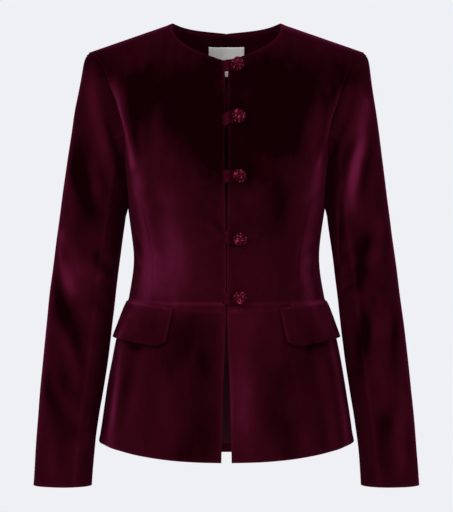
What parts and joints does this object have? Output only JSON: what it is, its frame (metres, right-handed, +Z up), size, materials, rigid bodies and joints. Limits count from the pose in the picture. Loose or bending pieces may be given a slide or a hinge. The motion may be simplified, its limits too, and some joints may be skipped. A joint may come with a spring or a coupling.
{
  "type": "velvet jacket",
  "caption": "Fitted collarless velvet jacket with a flared skirt, set-in sleeves, loops and dome buttons.",
  "frame": {"origin": "midway between the two points where the shoulder seams meet the neckline", "axes": "+Z up, the front faces -Y, +X towards the wearer's left"},
  "size_m": [0.5364, 0.2449, 0.6438],
  "materials": {
    "velvet": "burgundy pile velvet",
    "cord": "looped burgundy silk cord over a dome",
    "lining": "dark satin lining",
    "label": "plain woven label"
  },
  "bodies": {
    "root": {"front_bodice_right": "velvet", "back_bodice_right": "velvet", "front_skirt_right": "velvet", "back_skirt_right": "velvet", "top_sleeve_right": "velvet", "under_sleeve_right": "velvet", "flap_right": "velvet", "front_bodice_left": "velvet", "back_bodice_left": "velvet", "front_skirt_left": "velvet", "back_skirt_left": "velvet", "top_sleeve_left": "velvet", "under_sleeve_left": "velvet", "flap_left": "velvet", "button_1": "cord", "loop_1": "velvet", "button_2": "cord", "loop_2": "velvet", "button_3": "cord", "loop_3": "velvet", "button_4": "cord", "loop_4": "velvet", "button_5": "cord", "loop_5": "velvet", "back_neck_facing": "velvet", "back_lining": "lining", "label": "label"}
  },
  "joints": []
}
